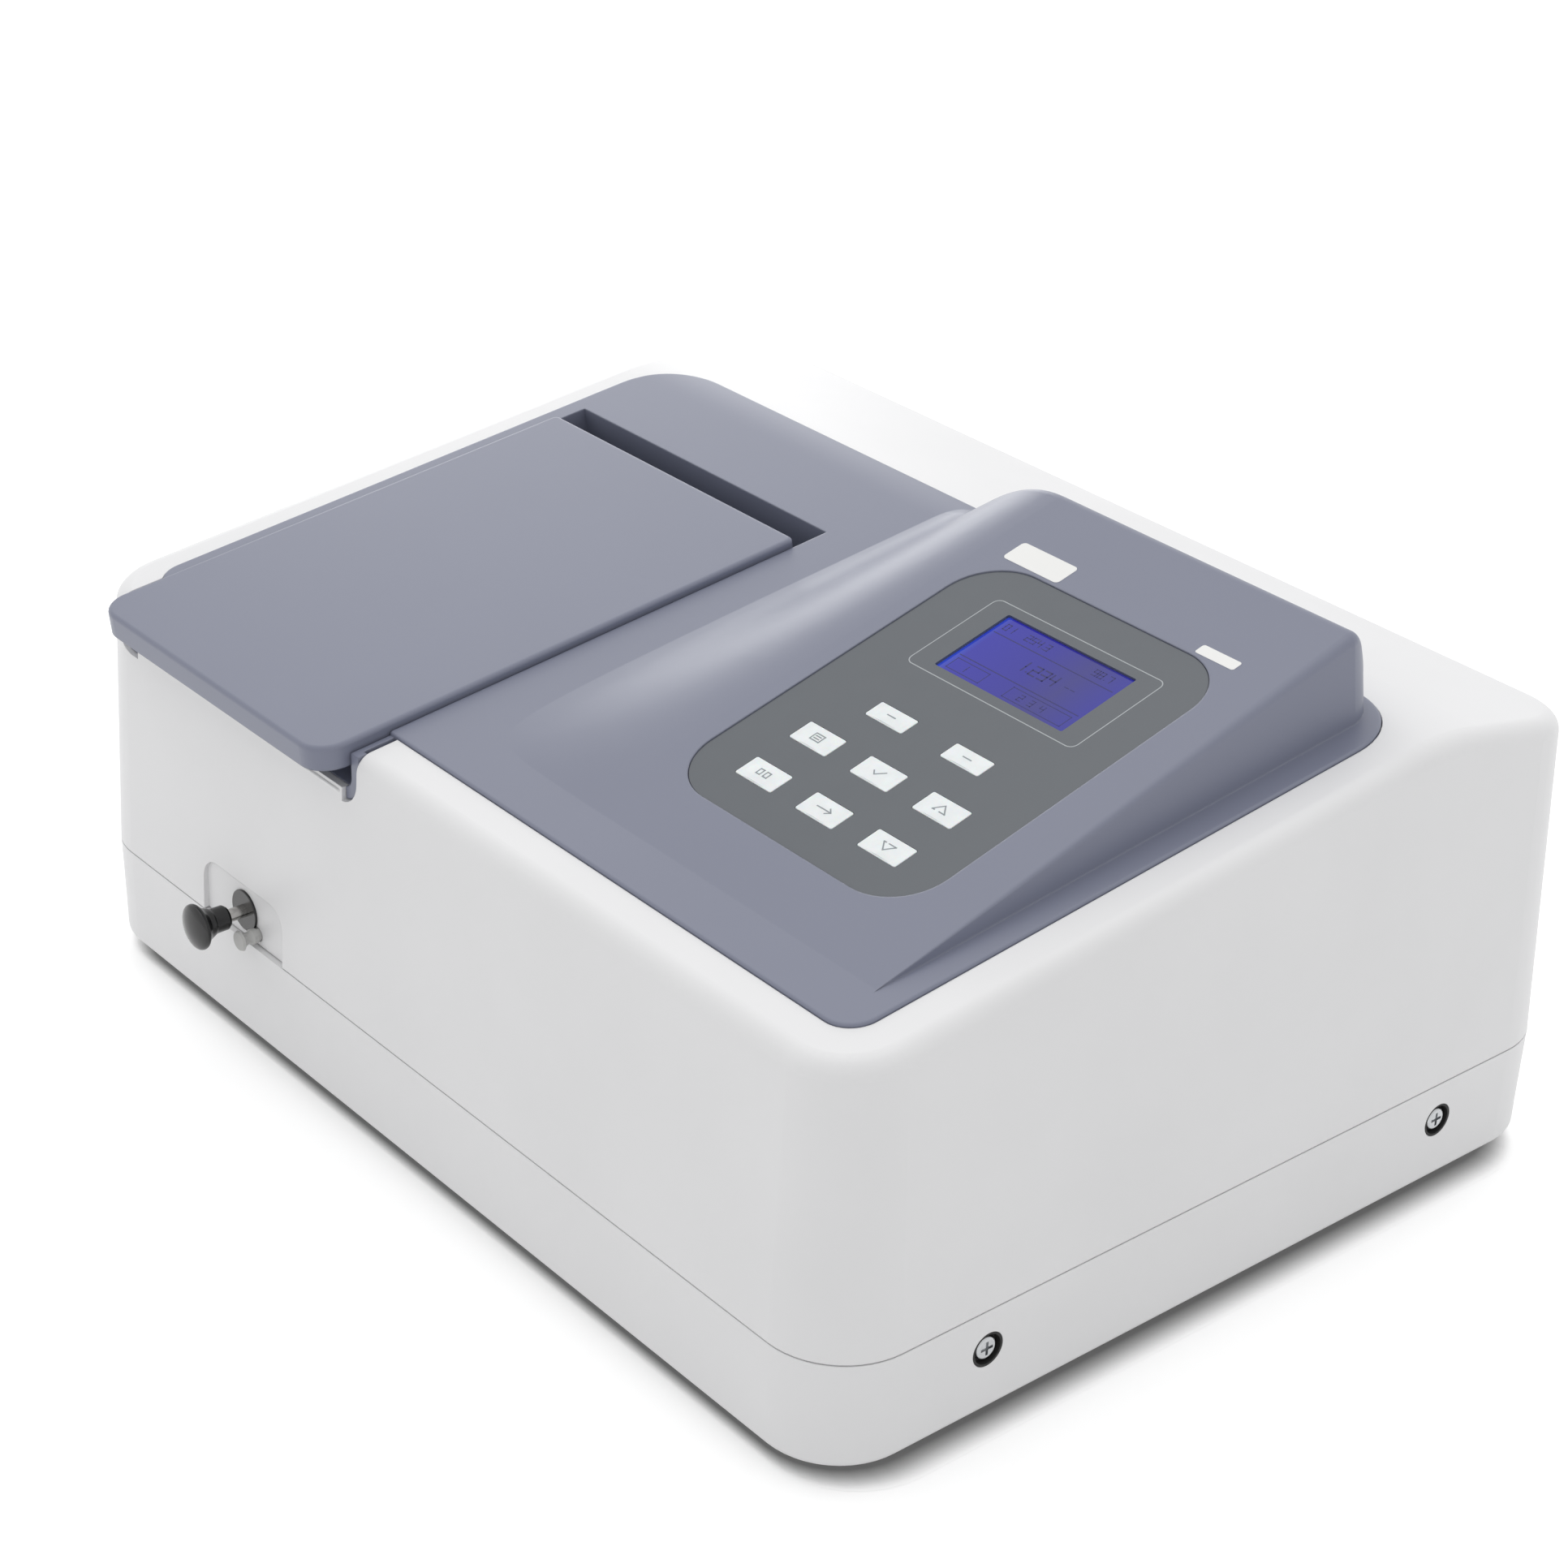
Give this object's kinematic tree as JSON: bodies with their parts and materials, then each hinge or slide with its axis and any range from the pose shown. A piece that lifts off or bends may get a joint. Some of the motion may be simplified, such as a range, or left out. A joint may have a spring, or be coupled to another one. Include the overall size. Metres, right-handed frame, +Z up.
{
  "type": "visible spectrophotometer",
  "caption": "Bench spectrophotometer with a hinged sample compartment lid, a pull rod that shifts the cell carriage, and a raised control pod with display and keys",
  "frame": {"origin": "middle of the instrument's footprint, knob included, on the bench top", "axes": "+X to the instrument's right as its user sees it, +Y to its back, +Z up"},
  "size_m": [0.45, 0.374, 0.2185],
  "materials": {
    "white_shell": "fine texture",
    "blue_grey_panel": "fine texture",
    "grey_film": "satin",
    "pale_key": "satin, translucent",
    "display_glass": "clear over blue",
    "black_plastic": "semi gloss",
    "black_anodised": "black anodised",
    "dark_rubber": "matt",
    "foam": "foam",
    "bright_steel": "ground",
    "spring_steel": "bright",
    "zinc_screw": "bright zinc",
    "cast_aluminium": "as cast",
    "sheet_steel": "zinc plated sheet",
    "light_grey_plastic": "satin",
    "green_board": "solder mask",
    "mirror_glass": "front silvered",
    "lamp_glass": "clear quartz",
    "clear_glass": "clear",
    "ceramic": "unglazed ceramic"
  },
  "bodies": {
    "chassis": {"upper_housing": "white_shell", "base_housing": "white_shell", "rubber_feet": "dark_rubber", "screw_cups": "dark_rubber", "side_screws": "zinc_screw", "top_panel": "blue_grey_panel", "keypad_overlay": "grey_film", "key_board": "green_board", "display_window": "display_glass", "display_module": "green_board", "hinge_brackets": "sheet_steel", "hinge_pins": "bright_steel", "rod_escutcheon": "black_plastic", "drain_spout": "light_grey_plastic", "sample_tub": "black_plastic", "guide_rails": "bright_steel", "detent_spring": "spring_steel", "optical_bench": "cast_aluminium", "lamp_house": "sheet_steel", "halogen_lamp": "lamp_glass", "lamp_mount": "ceramic", "filter_motor": "sheet_steel", "lens_holder": "black_anodised", "beam_lens": "clear_glass", "mono_case": "cast_aluminium", "mono_cover": "cast_aluminium", "slit_plates": "spring_steel", "collimator_mirrors": "mirror_glass", "grating_belt": "dark_rubber", "stepper_motor": "sheet_steel", "detector_house": "black_anodised", "photodiode_board": "green_board", "main_board": "green_board", "power_supply": "sheet_steel", "fan_frame": "black_plastic", "port_plate": "sheet_steel", "power_inlet": "black_plastic", "switch_frame": "black_plastic", "data_ports": "sheet_steel"},
    "lid": {"compartment_lid": "blue_grey_panel", "lid_seal": "foam"},
    "carriage": {"cell_carriage": "black_anodised", "cell_springs": "spring_steel", "pull_rod": "bright_steel", "pull_knob": "black_plastic"},
    "plug": {"drain_plug": "light_grey_plastic"},
    "rocker": {"rocker_switch": "black_plastic"},
    "turntable": {"grating_turntable": "black_anodised", "diffraction_grating": "mirror_glass"},
    "drive_pulley": {"motor_pulley": "cast_aluminium"},
    "filter_disc": {"filter_wheel": "black_anodised"},
    "fan": {"fan_rotor": "black_plastic"},
    "key_front_left_cap": {"key_front_left": "pale_key"},
    "key_front_centre_cap": {"key_front_centre": "pale_key"},
    "key_front_right_cap": {"key_front_right": "pale_key"},
    "key_middle_left_cap": {"key_middle_left": "pale_key"},
    "key_middle_centre_cap": {"key_middle_centre": "pale_key"},
    "key_middle_right_cap": {"key_middle_right": "pale_key"},
    "soft_key_left_cap": {"soft_key_left": "pale_key"},
    "soft_key_right_cap": {"soft_key_right": "pale_key"}
  },
  "joints": [
    {"name": "lid_hinge", "type": "hinge", "parent": "chassis", "child": "lid", "pos_m": [-0.1194, 0.03411, 0.17138], "axis": [-1, 0, 0], "range_deg": [0, 80]},
    {"name": "rod_pull", "type": "slide", "parent": "chassis", "child": "carriage", "axis": [0, -1, 0], "range_m": [0, 0.057]},
    {"name": "plug_pull", "type": "slide", "parent": "chassis", "child": "plug", "axis": [0, -1, 0], "range_m": [0, 0.008]},
    {"name": "power_rocker", "type": "hinge", "parent": "chassis", "child": "rocker", "pos_m": [0.129, 0.1743, 0.083], "axis": [1, 0, 0], "range_deg": [0, 18]},
    {"name": "grating_turn", "type": "hinge", "parent": "chassis", "child": "turntable", "pos_m": [0.065, 0.007, 0.06], "axis": [0, 0, 1], "range_deg": [-30, 30]},
    {"name": "drive_pulley_turn", "type": "hinge", "parent": "chassis", "child": "drive_pulley", "pos_m": [0.121, 0.007, 0.048], "axis": [0, 0, 1], "range_deg": [-120, 120]},
    {"name": "filter_turn", "type": "hinge", "parent": "chassis", "child": "filter_disc", "pos_m": [-0.026, 0.054, 0.075], "axis": [1, 0, 0], "continuous": true},
    {"name": "fan_spin", "type": "hinge", "parent": "chassis", "child": "fan", "pos_m": [-0.075, 0.171, 0.084], "axis": [0, 1, 0], "continuous": true},
    {"name": "key_front_left_press", "type": "slide", "parent": "chassis", "child": "key_front_left_cap", "axis": [0, 0.2588, -0.9659], "range_m": [0, 0.0004], "stiffness_N_per_m": 400, "springref_m": -0.0003},
    {"name": "key_front_centre_press", "type": "slide", "parent": "chassis", "child": "key_front_centre_cap", "axis": [0, 0.2588, -0.9659], "range_m": [0, 0.0004], "stiffness_N_per_m": 400, "springref_m": -0.0003},
    {"name": "key_front_right_press", "type": "slide", "parent": "chassis", "child": "key_front_right_cap", "axis": [0, 0.2588, -0.9659], "range_m": [0, 0.0004], "stiffness_N_per_m": 400, "springref_m": -0.0003},
    {"name": "key_middle_left_press", "type": "slide", "parent": "chassis", "child": "key_middle_left_cap", "axis": [0, 0.2588, -0.9659], "range_m": [0, 0.0004], "stiffness_N_per_m": 400, "springref_m": -0.0003},
    {"name": "key_middle_centre_press", "type": "slide", "parent": "chassis", "child": "key_middle_centre_cap", "axis": [0, 0.2588, -0.9659], "range_m": [0, 0.0004], "stiffness_N_per_m": 400, "springref_m": -0.0003},
    {"name": "key_middle_right_press", "type": "slide", "parent": "chassis", "child": "key_middle_right_cap", "axis": [0, 0.2588, -0.9659], "range_m": [0, 0.0004], "stiffness_N_per_m": 400, "springref_m": -0.0003},
    {"name": "soft_key_left_press", "type": "slide", "parent": "chassis", "child": "soft_key_left_cap", "axis": [0, 0.2588, -0.9659], "range_m": [0, 0.0004], "stiffness_N_per_m": 400, "springref_m": -0.0003},
    {"name": "soft_key_right_press", "type": "slide", "parent": "chassis", "child": "soft_key_right_cap", "axis": [0, 0.2588, -0.9659], "range_m": [0, 0.0004], "stiffness_N_per_m": 400, "springref_m": -0.0003}
  ],
  "couplings": [
    {"joint": "drive_pulley_turn", "follows": "grating_turn", "ratio": 4}
  ]
}
